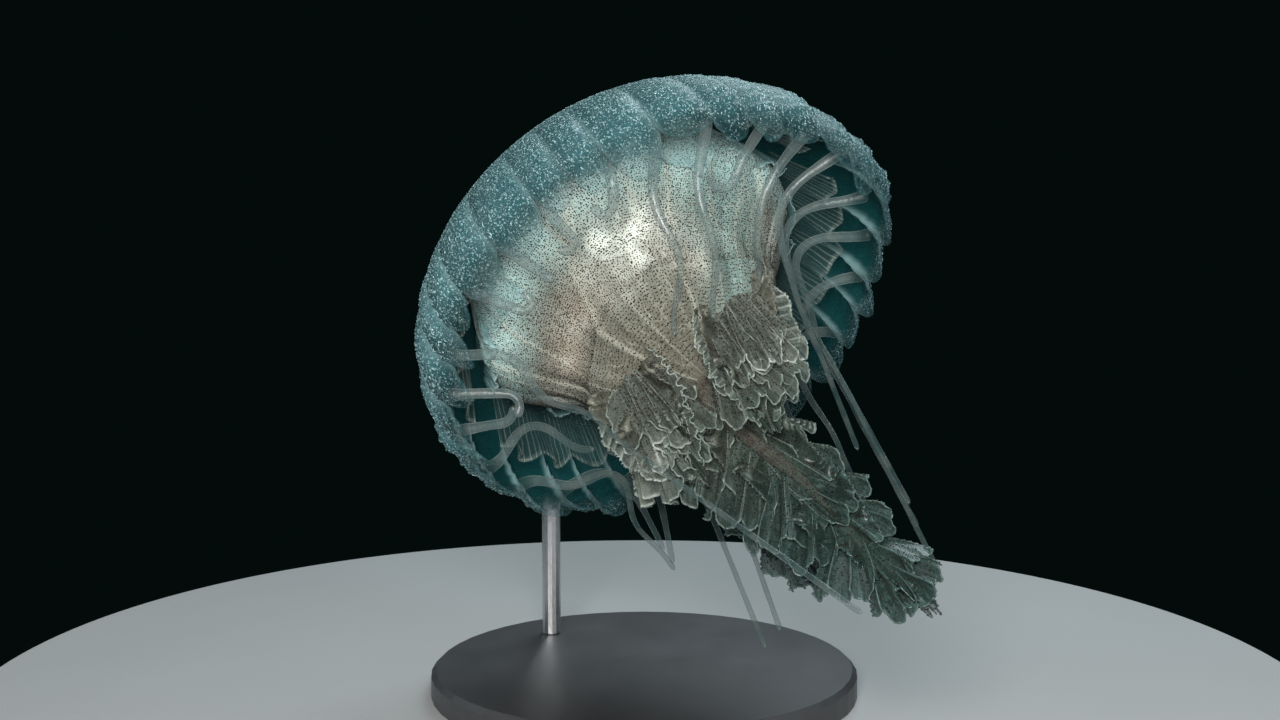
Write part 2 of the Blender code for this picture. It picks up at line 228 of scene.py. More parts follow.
class Flesh:
    """A Principled material whose changing values come from Wires."""

    def __init__(self, name, **constants):
        self.made = bpy.data.materials.new(name)
        self.made.use_nodes = True
        self.tree = self.made.node_tree
        self.shader = self.tree.nodes["Principled BSDF"]
        for key, value in constants.items():
            self.shader.inputs[key.replace("_", " ")].default_value = value

    def put(self, value, socket):
        if isinstance(value, Wire):
            self.tree.links.new(value.socket, socket)
        elif hasattr(socket.default_value, "__len__") and len(value) == 3 and len(socket.default_value) == 4:
            socket.default_value = (*value, 1.0)
        else:
            socket.default_value = value

    def node(self, kind, settings, *values, out=0, **named):
        made = self.tree.nodes.new(kind)
        for key, value in settings.items():
            setattr(made, key, value)
        for socket, value in zip([s for s in made.inputs if s.enabled], values):
            if value is not None:
                self.put(value, socket)
        for key, value in named.items():
            self.put(value, made.inputs[key])
        return Wire(self, made.outputs[out])

    def place(self):
        return self.node("ShaderNodeTexCoord", {}, out=3)

    def mark(self, name):
        return self.node("ShaderNodeAttribute", {"attribute_name": name}, out=2)

    def noise(self, scale, detail=2.0, distortion=0.0, where=None):
        where = where or self.place()
        return self.node(
            "ShaderNodeTexNoise", {}, Vector=where, Scale=scale, Detail=detail, Distortion=distortion
        )

    def cells(self, scale, feature="F1", where=None):
        where = where or self.place()
        return self.node("ShaderNodeTexVoronoi", {"feature": feature}, Vector=where, Scale=scale)

    def mix(self, share, first, second):
        made = self.tree.nodes.new("ShaderNodeMix")
        made.data_type = "RGBA"
        self.put(share, made.inputs[0])
        self.put(first, made.inputs[6])
        self.put(second, made.inputs[7])
        return Wire(self, made.outputs[2])

    def feed(self, **links):
        for key, value in links.items():
            self.put(value, self.shader.inputs[key.replace("_", " ")])

    def bump(self, height, depth):
        made = self.node("ShaderNodeBump", {}, Strength=1.0, Distance=depth, Height=height)
        self.put(made, self.shader.inputs["Normal"])


def jelly():
    """Clear teal jelly with pale granules on the outside only, clearest where the lappets end."""
    made = Flesh("bell_jelly", Roughness=0.34, IOR=1.36, Specular_IOR_Level=0.25)
    inside = made.mark("inside")
    polar = made.mark("polar")
    cleft = made.mark("cleft")
    lappet = made.mark("lappet")
    wander = made.noise(520, 2.0, 1.8)
    worms = 1 - (wander - 0.5).maths("ABSOLUTE").step(0.01, 0.06)
    broken = made.noise(1100, 1.0).step(0.42, 0.56)
    specks = 1 - made.cells(760).step(0.14, 0.32)
    grain = (worms * broken).maths("MAXIMUM", specks) * (1 - inside) * polar.step(0.0, 0.5, 0.55, 1.0)
    cloud = made.noise(45, 3.0).step(0.3, 0.7)
    body = made.mix(polar.step(0.25, 0.95), (0.15, 0.29, 0.30), (0.042, 0.128, 0.145))
    body = made.mix(cloud * 0.4, body, (0.075, 0.185, 0.20))
    crown = polar.step(0.62, 0.26)
    body = made.mix(crown * cloud.step(0.0, 1.0, 0.45, 0.8), body, (0.27, 0.31, 0.27))
    body = made.mix(made.mark("septum") * (crown * 0.6 + 0.12), body, (0.36, 0.50, 0.49))
    # Painted shade: the inside skin is coloured near black, and made denser below, so the hollow of the bell
    # looks dark.
    body = made.mix(inside * 0.97, body, (0.002, 0.032, 0.034))
    # Painted highlight: a pale, denser line along the fold at each cleft.
    body = made.mix(cleft.step(0.2, 0.9) * 0.5, body, (0.22, 0.36, 0.37))
    # Painted shade: the groove beside each cleft is darkened and its granules dimmed.
    groove = made.mark("groove") * (1 - inside) * polar.step(0.45, 0.8)
    body = made.mix(groove * 0.6, body, (0.030, 0.085, 0.095))
    made.feed(Base_Color=made.mix(grain * (0.85 - groove * 0.35), body, (0.27, 0.45, 0.47)))
    clear = polar.step(0.2, 0.8, 0.40, 0.56) + cloud * 0.08 + made.mark("septum") * crown * 0.2
    clear = clear * (1 - lappet.step(0.05, 0.95) * 0.80)
    clear = clear * (1 - inside) + inside * (0.86 - lappet.step(0.0, 0.8) * 0.76)
    rim = lappet.step(0.95, 1.0) * 0.08
    made.feed(Alpha=(clear + grain * (0.40 - lappet * 0.24) + cleft * 0.22 + rim).maths("MINIMUM", 0.98))
    made.bump(grain + cloud * 0.5, 0.0004)
    return made.made


bell = close_up(wrap_grid("bell_skin", LAPPETS * 14, 118, bell_form))
bell.data.materials.append(jelly())
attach(bell, "root")
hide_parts("bell_crown", *(f"bell_margin_{i}" for i in range(1, 9)))


# ---------------------------------------------------------------- granules
# Raised beads of stinging cells are scattered all over the outside of the bell, closest and
# largest towards the hem. Each is one low, longish bead sunk in the skin, copied.

BEADS = 28000
BEAD_RADIUS = 0.00016


def modelled_bead(name, sides, length, height, top=0.0):
    """A low bead with a few sides, one unit in radius, as long and high as is said, on its base."""
    bpy.ops.object.select_all(action="DESELECT")
    bpy.ops.mesh.primitive_cone_add(vertices=sides, radius1=1, radius2=top, depth=height, location=(0, 0, 0))
    bead = bpy.context.object
    bead.name = name
    bpy.ops.object.mode_set(mode="EDIT")
    bpy.ops.mesh.select_all(action="SELECT")
    bpy.ops.transform.resize(value=(1, length, 1))
    bpy.ops.mesh.quads_convert_to_tris()
    bpy.ops.object.mode_set(mode="OBJECT")
    bead.data.transform(Matrix.Translation((0, 0, height / 2 - 0.12)))
    return bead


def strew(name, bead, spots, side, ahead, out, sizes):
    """One mesh of many copies of a modelled bead, each set on its spot and sized."""
    shape = np.array([v.co[:] for v in bead.data.vertices])
    corners = np.array([f.vertices[:] for f in bead.data.polygons if len(f.vertices) == 3])
    bpy.data.objects.remove(bead)
    grown = shape[None, :, :] * sizes[:, None, None]
    points = spots[:, None, :] + side[:, None, :] * grown[:, :, 0:1]
    points = points + ahead[:, None, :] * grown[:, :, 1:2] + out[:, None, :] * grown[:, :, 2:3]
    points = points.reshape(-1, 3) @ TURN.T + PLACE
    faces = (np.arange(len(spots))[:, None, None] * len(shape) + corners[None]).reshape(-1, 3)
    mesh = bpy.data.meshes.new(name)
    mesh.from_pydata(points.tolist(), [], faces.tolist())
    made = bpy.data.objects.new(name, mesh)
    bpy.context.scene.collection.objects.link(made)
    mesh.uv_layers.new(name="grid")
    return made


def unit(vectors):
    return vectors / np.linalg.norm(vectors, axis=1)[:, None]


def lappet_at(azimuth):
    """Place across its lappet, and the lappet's number, for an azimuth."""
    octant, within = np.divmod(np.degrees(azimuth), 45)
    place = np.clip(np.searchsorted(CLEFTS, within, side="right") - 1, 0, 3)
    across = 2 * (within - CLEFTS[place]) / (CLEFTS[place + 1] - CLEFTS[place]) - 1
    return across, octant * 4 + place


chance = np.random.default_rng(11)
number = np.arange(BEADS) + 0.5
t = np.arccos(1 - number / BEADS * 1.30) + chance.normal(0, 0.006, BEADS)
azimuth = (number * pi * (3 - 5**0.5) + chance.normal(0, 0.008, BEADS)) % (2 * pi)
across, lappet = lappet_at(azimuth)
keep = (t < CLEFT_LIMIT + (lappet_reach(lappet) - 0.02) * scallop(across)) & (t > 0.02)
azimuth, t, across, lappet = azimuth[keep], t[keep], across[keep], lappet[keep]
spots = bell_points(azimuth, across, lappet, t, 0.0)
ahead = unit(bell_points(azimuth, across, lappet, t + 0.002, 0.0) - spots)
side = stack(-np.sin(azimuth), np.cos(azimuth), 0 * t)
out = unit(np.cross(side, ahead))
out = out * np.sign((out * spots).sum(1))[:, None]
side = unit(np.cross(ahead, out))
lie = chance.normal(0, 0.5, len(t))[:, None]
ahead, side = ahead * np.cos(lie) + side * np.sin(lie), side * np.cos(lie) - ahead * np.sin(lie)
sizes = BEAD_RADIUS * (0.5 + 0.75 * smooth(t / CLEFT_LIMIT)) * chance.uniform(0.5, 1.3, len(t))
sizes = sizes * (1 - 0.65 * smooth((t - CLEFT_LIMIT) / (LAPPET_REACH * np.maximum(scallop(across), 0.2))))
granules = strew("bell_granules", modelled_bead("bead", 4, 2.2, 0.9), spots, side, ahead, out, sizes)


def pale_beads():
    made = Flesh("granule_flesh", Roughness=0.3)
    made.feed(Base_Color=made.mix(made.noise(160).step(0.3, 0.7), (0.20, 0.37, 0.39), (0.36, 0.55, 0.57)))
    made.feed(Alpha=made.noise(90).step(0.3, 0.7, 0.40, 0.75))
    return made.made


granules.data.materials.append(pale_beads())
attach(granules, "root")


# ---------------------------------------------------------------- stomach
# The stomach hangs under the crown as a broad cream bag and narrows, with four pillars and many
# pleats, into the tube that carries the mouth arms. Dark freckles are raised all over it.

STOMACH_RADIUS = 0.050
STOMACH_LEVEL = 0.014
TUBE_RADIUS = 0.031
TUBE_LEVEL = -0.016
TUBE_END = -0.036
FRECKLE_STEP = 0.00076
FRECKLE_RADIUS = 0.00031
PILLAR_SPREAD = 19


def pillar_at(azimuth, turn):
    """How far inside one of the four pillars a place lies (0 to 1), and how near its border."""
    away = np.degrees((azimuth + pi / 4) % (pi / 2) - pi / 4)
    half = PILLAR_SPREAD - 8 * turn + 1.6 * np.sin(6 * turn + 2 * azimuth) + 0.8 * np.sin(17 * turn + azimuth)
    past = half - np.abs(away)
    return smooth(past / 2.6 + 0.5), np.exp(-((past / 1.1) ** 2))


def stomach_points(azimuth, v):
    t = CROWN_LIMIT * 0.8 * np.clip(v / 0.3, 0, 1)
    top_radius, top_height = bell_side(t, bell_wall(t) + 0.0004)
    turn = np.clip((v - 0.3) / 0.55, 0, 1)
    swell = np.sin(np.clip(turn / 0.4, 0, 1) * pi / 2)
    part = np.clip((turn - 0.4) / 0.6, 0, 1)
    radius = top_radius + (STOMACH_RADIUS - top_radius) * swell
    radius = np.where(v < 0.3, top_radius, radius + (TUBE_RADIUS - STOMACH_RADIUS) * smooth(part) ** 0.9)
    height = np.where(
        turn < 0.4,
        top_height + (STOMACH_LEVEL - top_height) * turn / 0.4,
        STOMACH_LEVEL + (TUBE_LEVEL - STOMACH_LEVEL) * part,
    )
    end = np.clip((v - 0.85) / 0.15, 0, 1)
    radius = radius * np.sqrt(np.maximum(0, 1 - end**2.2)) * (1 - 0.35 * end)
    height = height + (TUBE_END - TUBE_LEVEL) * end
    drape = 7 * azimuth + 2.4 * np.sin(azimuth * 2 + 0.6) + turn * 3
    fine = 23 * azimuth + 4 * np.sin(azimuth * 3 + turn * 5)
    folds = 0.045 * np.cos(4 * azimuth) * smooth(turn * 1.6)
    folds = folds + 0.022 * (np.abs(np.sin(drape)) ** 0.6 - 0.6) * smooth((turn - 0.20) / 0.6)
    folds = folds + 0.009 * np.sin(fine) * smooth((turn - 0.55) / 0.3)
    folds = folds + 0.016 * pillar_at(azimuth, turn)[0] * smooth(turn * 2)
    radius = radius * (1 + folds)
    sag = np.sin(3 * azimuth + 1) + 0.7 * np.sin(7 * azimuth + 2 * np.sin(azimuth))
    height = height + 0.0010 * sag * smooth(turn * 1.6) * (1 - end)
    return stack(radius * np.cos(azimuth), radius * np.sin(azimuth), height), drape, fine


# Patches where light shines through the full pouches: azimuth, share of the way down, their
# spreads, strength and warmth.
PATCHES = (
    (-92, 0.69, 20, 0.060, 0.44, 0.0),
    (-84, 0.77, 14, 0.075, 0.50, 0.1),
    (-98, 0.83, 16, 0.055, 0.26, 0.5),
    (-70, 0.74, 11, 0.085, 0.34, 0.4),
    (-61, 0.84, 12, 0.055, 0.42, 1.2),
    (-42, 0.78, 14, 0.070, 0.25, 0.2),
    (-128, 0.77, 20, 0.085, 0.28, 1.4),
    (-157, 0.77, 15, 0.070, 0.36, 1.2),
    (5, 0.74, 16, 0.080, 0.65, 0.1),
    (32, 0.82, 14, 0.060, 0.45, 1.1),
    (95, 0.74, 16, 0.080, 0.65, 0.1),
    (125, 0.82, 14, 0.060, 0.45, 1.1),
    (172, 0.72, 14, 0.070, 0.50, 0.2),
)


def stomach_form(u, v):
    points, drape, fine = stomach_points(2 * pi * u, v)
    turn = np.clip((v - 0.3) / 0.55, 0, 1)
    border = pillar_at(2 * pi * u, turn)[1] * smooth(turn * 3 - 0.6)
    crest = np.maximum(smooth((np.abs(np.sin(drape)) - 0.985) / 0.015), border)
    glow, warm = 0.0, 0.0
    for middle, down, wide, tall, strength, warmth in PATCHES:
        away = (360 * u - middle + 180) % 360 - 180
        patch = strength * np.exp(-((away / wide) ** 2) - ((v - down) / tall) ** 2)
        glow = glow + patch
        warm = warm + patch * warmth
    cool = np.exp(-((((360 * u + 124) % 180 - 90) / 24) ** 2))
    pleat = 0.5 + 0.5 * np.sin(fine)
    marks = {"down": v, "crest": crest, "pleat": pleat, "glow": glow, "warm": warm, "cool": cool}
    return points, marks


def freckle_spots(form, spread, lengthways, gap):
    """Even but unruly places over a form, as shares of it, for a gap between freckles. The form argument is
    not used.
    """
    rows = np.arange(gap / 2, lengthways, gap)
    found_u, found_v = [], []
    for row in rows:
        v = row / lengthways
        count = max(3, int(spread(v) / gap))
        u = (np.arange(count) + chance.uniform(0, 1)) / count
        found_u.append(u + chance.normal(0, 0.20, count) / count)
        found_v.append(v + chance.normal(0, 0.20, count) * gap / lengthways)
    u, v = np.concatenate(found_u), np.concatenate(found_v)
    keep = (u > 0.002) & (u < 0.998) & (v > 0.002) & (v < 0.998)
    return u[keep], v[keep]


def set_on(form, u, v, reach):
    """Spots, sides and outward directions of a form at shares u and v of it."""
    spots = form(u, v)[0]
    side = unit(form(u + reach, v)[0] - spots)
    ahead = form(u, v + reach)[0] - spots
    out = unit(np.cross(side, ahead))
    return spots, side, unit(np.cross(out, side)), out


def dotted_membrane():
    """Cream membrane that glows warm in patches and turns sea-green towards the crown."""
    made = Flesh("stomach_flesh", Roughness=0.7, Specular_IOR_Level=0.10)
    down = made.mark("down")
    pleat = made.mark("pleat")
    crest = made.mark("crest")
    glow = made.mark("glow").maths("MINIMUM", 0.74) * made.noise(150, 3.0).step(0.3, 0.7, 0.60, 1.25)
    glow = glow + made.noise(45, 2.0).step(0.3, 0.7, -0.10, 0.12)
    cream = made.mix(glow.step(0.0, 1.0), (0.102, 0.118, 0.100), (0.68, 0.75, 0.68))
    cream = made.mix((made.mark("warm") * 0.75).maths("MINIMUM", 0.6), cream, (0.36, 0.25, 0.18))
    cream = made.mix(down.step(0.82, 0.93) * 0.75, cream, (0.108, 0.104, 0.080))
    upper = (down + made.noise(60, 2.0) * 0.12).step(0.775, 0.61)
    cream = made.mix(upper * 0.90, cream, (0.47, 0.68, 0.65))
    cream = made.mix(made.mark("cool") * 0.45, cream, (0.20, 0.36, 0.35))
    cream = made.mix(down.step(0.44, 0.30) * 0.7, cream, (0.42, 0.43, 0.36))
    # Painted highlights: pale lines along the ridge tops of the pleats and drapes and along the pillar
    # borders. The seams are a pale pattern of the membrane.
    fold = pleat.step(0.70, 1.0) * down.step(0.6, 0.8)
    scratch = made.noise(150, 2.0, 1.2)
    seams = 1 - (scratch - 0.5).maths("ABSOLUTE").step(0.002, 0.012)
    lines = (fold * 0.12).maths("MAXIMUM", crest * 0.45).maths("MAXIMUM", seams * 0.35)
    cream = made.mix(lines, cream, (0.42, 0.43, 0.36))
    veil = made.noise(700, 3.0).step(0.35, 0.7)
    made.feed(Base_Color=made.mix(veil * 0.22, cream, (0.16, 0.14, 0.10)))
    made.feed(Roughness=veil * 0.2 + 0.62)
    made.bump(made.noise(500, 2.0) + crest * 0.4, 0.0003)
    return made.made


def brown_freckle():
    made = Flesh("freckle_flesh", Roughness=0.8, Specular_IOR_Level=0.1)
    patchy = made.noise(120).step(0.3, 0.7)
    made.feed(Base_Color=made.mix(patchy, (0.004, 0.003, 0.002), (0.030, 0.018, 0.010)))
    return made.made


def stomach_girth(v):
    end = min(1.0, max(0.0, (v - 0.85) / 0.15))
    return (0.30 if v < 0.75 else 0.21) * sqrt(1 - end**2.2)


dotted = dotted_membrane()
freckled = brown_freckle()
stomach = close_up(wrap_grid("stomach_skin", 380, 220, stomach_form))
stomach.data.materials.append(dotted)
u, v = freckle_spots(stomach_form, stomach_girth, 0.130, FRECKLE_STEP)
keep = (v > 0.44) & (v < 0.99)
u, v = u[keep], v[keep]
spots, side, ahead, out = set_on(stomach_form, u, v, 0.0006)
out = out * np.sign((out[:, :2] * spots[:, :2]).sum(1))[:, None]
sizes = FRECKLE_RADIUS * chance.uniform(0.55, 1.25, len(u)) * smooth((v - 0.30) / 0.16)
freckles = strew("stomach_freckles", modelled_bead("freckle", 4, 1.0, 0.7), spots, side, ahead, out, sizes)
freckles.data.materials.append(freckled)
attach(stomach, "root")
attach(freckles, "root")
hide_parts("stomach")


# ---------------------------------------------------------------- gonads
# Between the arms' pillars the gut wall hangs in four pleated fans of clear, finely lined tissue
# that stand out past the stomach.


def gonad_form(number):
    middle = radians(90 * number - 50)

    def form(u, v):
        spread = radians(38)
        azimuth = middle + spread * (2 * u - 1)
        fold = np.sin(2 * pi * 6 * u + 0.6 * np.sin(9 * u)) + 0.25 * np.sin(2 * pi * 13 * u + 1)
        radius = 0.0552 + 0.0080 * v + 0.5 * fold * (0.0012 + 0.0034 * v)
        height = 0.0262 - 0.0230 * v + 0.0008 * np.sin(2 * pi * 13 * u) * v
        azimuth = azimuth + 0.02 * np.sin(2 * pi * 5 * u) * v
        return stack(radius * np.cos(azimuth), radius * np.sin(azimuth), height), {"hang": v, "ray": u * 76}

    return form


def solidify(piece, thickness):
    bpy.context.view_layer.objects.active = piece
    wall = piece.modifiers.new("wall", "SOLIDIFY")
    wall.thickness = thickness
    wall.offset = 0.0
    bpy.ops.object.modifier_apply(modifier=wall.name)
    piece.data.shade_smooth()
    return piece


def lined_tissue():
    made = Flesh("gonad_flesh", Roughness=0.35)
    ray = made.mark("ray")
    hang = made.mark("hang")
    lines = (ray * 6.2832 + made.noise(300) * 3).maths("SINE").step(0.3, 1.0)
    edge = hang.step(0.9, 1.0)
    tint = made.mix(lines * 0.45 + edge * 0.3, (0.08, 0.13, 0.12), (0.36, 0.42, 0.38))
    made.feed(Base_Color=tint)
    made.feed(Alpha=0.07 + lines * 0.13 + edge * 0.16)
    made.bump(lines, 0.0003)
    return made.made


lined = lined_tissue()
gonads = []
for number in (1, 2, 3, 4):
    fan = solidify(wrap_grid(f"gonad_fan_{number}", 220, 18, gonad_form(number)), 0.0004)
    fan.data.materials.append(lined)
    gonads.append(fan)
gonad_fans = join("gonad_fans", gonads)
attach(gonad_fans, "root")
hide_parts("gonad_1", "gonad_2", "gonad_3", "gonad_4")


# ---------------------------------------------------------------- veils
# Loose veils of the same clear lined tissue lie round the shoulder of the stomach, grown to it
# along their upper edges, with free, ruffled lower edges.

# The middle of each veil in degrees round the stomach, and how far down it hangs.
VEILS = {
    -166: 0.13,
    -138: 0.16,
    -112: 0.11,
    -80: 0.13,
    -50: 0.16,
    -15: 0.13,
    22: 0.15,
    60: 0.13,
    97: 0.15,
    140: 0.13,
}


def ruffle(along, free, length, seed):
    """Sway and slide of a gathered edge: finer waves start nearer the free edge (free = 1)."""
    run = 2 * pi * along / length + seed
    run = run + 0.9 * np.sin(run * 0.37 + seed) + 0.5 * np.sin(run * 0.171 + 2 * seed)
    second = 2.37 * run + 1.7 * seed + 0.8 * np.sin(run * 0.41)
    third = 5.3 * run + 2.3 * seed + np.sin(run * 0.83)
    near, nearer = smooth((free - 0.25) / 0.75), smooth((free - 0.60) / 0.40)
    sway = 0.22 * free * np.sin(run) + 0.10 * near * np.sin(second) + 0.045 * nearer * np.sin(third)
    slide = 0.09 * free * np.cos(run) + 0.05 * near * np.cos(second) + 0.03 * nearer * np.cos(third)
    return sway * length, slide * length, run


def veil_form(middle, drop):
    def form(u, v):
        w = 2 * u - 1
        azimuth = radians(middle) + radians(17) * w * (1 - 0.25 * v) + 0.03 * np.sin(7 * v + middle)
        level = 0.46 + drop * v * (1 - 0.30 * w**2 + 0.10 * np.sin(5 * w + middle))
        spots = stomach_points(azimuth, level)[0]
        run = 2 * pi * 2.6 * u + middle + np.sin(4 * u + 2 * v)
        sway, slide, _ = ruffle(u * 0.024, smooth((v - 0.6) / 0.4), 0.0042, middle)
        lift = 0.0005 + v * (0.0016 + 0.0013 * np.sin(run) + 0.0004 * np.sin(2.7 * run)) + 0.7 * np.abs(sway)
        spots = spots + stack(np.cos(azimuth), np.sin(azimuth), 0 * u) * lift[:, None]
        spots[:, 2] += slide
        hang = np.maximum(v, smooth((np.abs(w) - 0.9) / 0.1) * 0.96)
        return spots, {"hang": hang, "ray": u * 16 + 0.2 * np.sin(run)}

    return form


def clear_veil():
    made = Flesh("veil_flesh", Roughness=0.4)
    hang = made.mark("hang")
    lines = (made.mark("ray") * 6.2832 + made.noise(200) * 4).maths("SINE").step(0.6, 1.0)
    edge = hang.step(0.90, 1.0)
    lit = (lines * 0.3).maths("MAXIMUM", edge * 0.6)
    made.feed(Base_Color=made.mix(lit, (0.21, 0.42, 0.43), (0.46, 0.62, 0.60)))
    made.feed(Alpha=hang * 0.12 + lines * 0.05 + edge * 0.22 + 0.04)
    made.bump(lines + made.noise(400, 2.0), 0.0003)
    return made.made


hazy = clear_veil()
veils = []
for middle, drop in VEILS.items():
    veil = solidify(wrap_grid(f"veil_{middle}", 64, 30, veil_form(middle, drop)), 0.0003)
    veil.data.materials.append(hazy)
    veils.append(veil)
gut_veils = join("gut_veils", veils)
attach(gut_veils, "root")


# ---------------------------------------------------------------- oral arms
# Four arms grow from the mouth. Each is a soft freckled rib with a thin curtain to either side,
# which lies in slanting folds like the veins of a leaf and ends in a toothed, ruffled edge.

ARMS = {
    "arm_1": ((0.018, -0.009), (0.004, -0.013), -62, 0.0120, 0.052, 0.000),
    "arm_2": ((0.000, 0.015), (-0.008, 0.011), 82, 0.0120, 0.086, -0.008),
    "arm_3": ((-0.019, -0.008), (-0.018, -0.011), -118, 0.0120, 0.050, 0.000),
    "arm_4": ((-0.006, 0.001), (0.009, -0.003), -88, 0.0135, 0.120, -0.001),
}
FOLD_LENGTH = 0.021
RUFFLE_LENGTH = 0.0062


def arm_line(shape, s):
    """Centre of an arm's rib and its half width at share s of its length."""
    root, tip, facing, width, length, bend = shape
    x = root[0] + (tip[0] - root[0]) * s + bend * np.sin(pi * s)
    y = root[1] + (tip[1] - root[1]) * s
    z = TUBE_LEVEL - 0.0005 - length * s
    swell = 0.62 + 0.5 * np.sin(pi * np.minimum(1.0, s * 1.15 + 0.08)) ** 0.8
    taper = 1 - smooth((s - 0.72) / 0.34) * 0.72
    return stack(x, y, z), width * swell * taper


def arm_sides(shape):
    facing = radians(shape[2])
    out = np.array([cos(facing), sin(facing), 0])
    return out, np.array([-out[1], out[0], 0])


def arm_form(shape, seed):
    out, across = arm_sides(shape)
    length = shape[4]

    def form(u, v):
        s = -0.06 + 1.06 * v
        centre, half = arm_line(shape, np.clip(s, 0, 1))
        half = half * (0.72 if length > 0.08 else 0.90)
        centre = centre - stack(0 * s, 0 * s, np.minimum(s, 0) * length)
        w = np.sin(pi / 2 * (2 * u - 1)) * 0.6 + (2 * u - 1) * 0.4
        a = np.abs(w)
        hand = np.where(w > 0, 1.9, 0.0) + seed
        run = 2 * pi * (s * length - 1.15 * a * half) / FOLD_LENGTH + hand
        run = run + 0.8 * np.sin(run * 0.43 + seed)
        broad = np.sin(run)
        lift = 0.42 * half * a**1.4 + 0.0034 * a**1.5 * broad + 0.0012 * (1 - a) ** 3
        lift = lift + 0.0008 * a * np.sin(2.7 * run + 5 * a + seed)
        free = smooth((a - 0.50) / 0.50)
        sway, slide, _ = ruffle(s * length + 0.3 * a * half, free, RUFFLE_LENGTH, hand * 3)
        teeth = smooth((a - 0.95) / 0.05) * np.sin(s * length / 0.00085 * 2 * pi)
        reach = half * w * (1 + 0.06 * np.sin(run * 0.5 + 1)) + np.sign(w) * 0.0004 * teeth
        end = smooth((s - 0.80) / 0.20)
        points = centre + across * reach[:, None] + out * (lift + sway)[:, None]
        points[:, 2] += slide + 0.0011 * a**2 * np.cos(run) - end * 0.004 * np.sin(4.4 * w + 9 * a + seed)
        crest = smooth((broad - 0.93) / 0.07) * smooth((a - 0.05) / 0.2)
        marks = {"edge": a, "fold": 0.5 + 0.5 * broad, "crease": crest, "along": s * min(1, length / 0.1)}
        return points, marks

    return form


def arm_curtain():
    """Freckled rib, dim clear web with painted shade on its folds and painted highlights along its creases,
    and a pale toothed edge.
    """
    made = Flesh("arm_flesh", Roughness=0.40)
    edge = made.mark("edge")
    crease = made.mark("crease")
    along = made.mark("along")
    fold = made.mark("fold")
    rib = 1 - edge.step(0.06, 0.24)
    web = made.mix(along.step(0.0, 0.6), (0.105, 0.105, 0.080), (0.014, 0.032, 0.027))
    # Painted shade: the web is darkened by where it lies in its folds.
    web = made.mix(fold.step(0.25, 0.9) * 0.4, web, (0.016, 0.026, 0.021))
    core = made.mix(along.step(0.1, 0.8), (0.115, 0.105, 0.085), (0.030, 0.046, 0.040))
    tint = made.mix(rib * 0.6, web, core)
    pale = made.mix(along.step(0.0, 0.7), (0.25, 0.25, 0.20), (0.045, 0.085, 0.078))
    brim = edge.step(0.92, 1.0) * 0.5
    scratch = made.noise(520, 3.0, 0.8)
    veins = 1 - (scratch - 0.5).maths("ABSOLUTE").step(0.006, 0.035)
    tint = made.mix(veins * 0.35 * edge, tint, pale)
    # Painted highlights: pale lines along the fold ridges. The pale toothed edge is the tissue's own.
    tint = made.mix((crease * 0.75).maths("MAXIMUM", brim * 0.85), tint, pale)
    made.feed(Base_Color=tint)
    solid = 0.42 + rib * 0.40 + crease * 0.25 + brim * 0.30 + veins * edge * 0.12 + along * 0.12
    made.feed(Alpha=solid.maths("MINIMUM", 0.97))
    made.bump(crease + scratch * 0.6, 0.0003)
    return made.made


curtain = arm_curtain()
for number, (name, shape) in enumerate(ARMS.items()):
    form = arm_form(shape, 0.4 + number * 1.7)
    length = shape[4]
    arm = solidify(wrap_grid(name + "_skin", 48, int(length / 0.00030), form), 0.0004)
    arm.data.materials.append(curtain)
    u, v = freckle_spots(form, lambda v: 0.026, length, 0.00125)
    spots, side, ahead, out = set_on(form, u, v, 0.001)
    sizes = 0.00024 * chance.uniform(0.5, 1.2, len(u)) * (1 - smooth((np.abs(2 * u - 1) - 0.70) / 0.25))
    keep = sizes > 0.00008
    bead = modelled_bead("freckle", 4, 1.0, 2.8, 1.0)
    bead.data.transform(Matrix.Translation((0, 0, -1.28)))
    dots = strew(name + "_freckles", bead, spots[keep], side[keep], ahead[keep], out[keep], sizes[keep])
    dots.data.materials.append(freckled)
    for piece in (arm, dots):
        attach(piece, "root")
    halves = [name] if name in ("arm_1", "arm_3") else [name + "_upper", name + "_lower"]
    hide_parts(*halves)


# ---------------------------------------------------------------- flaps
# The arms' curtains are gathered into overlapping flaps. Each is a thin freckled sheet, narrow
# where it grows from the rib, that fans out in creases to a ragged, ruffled hem.


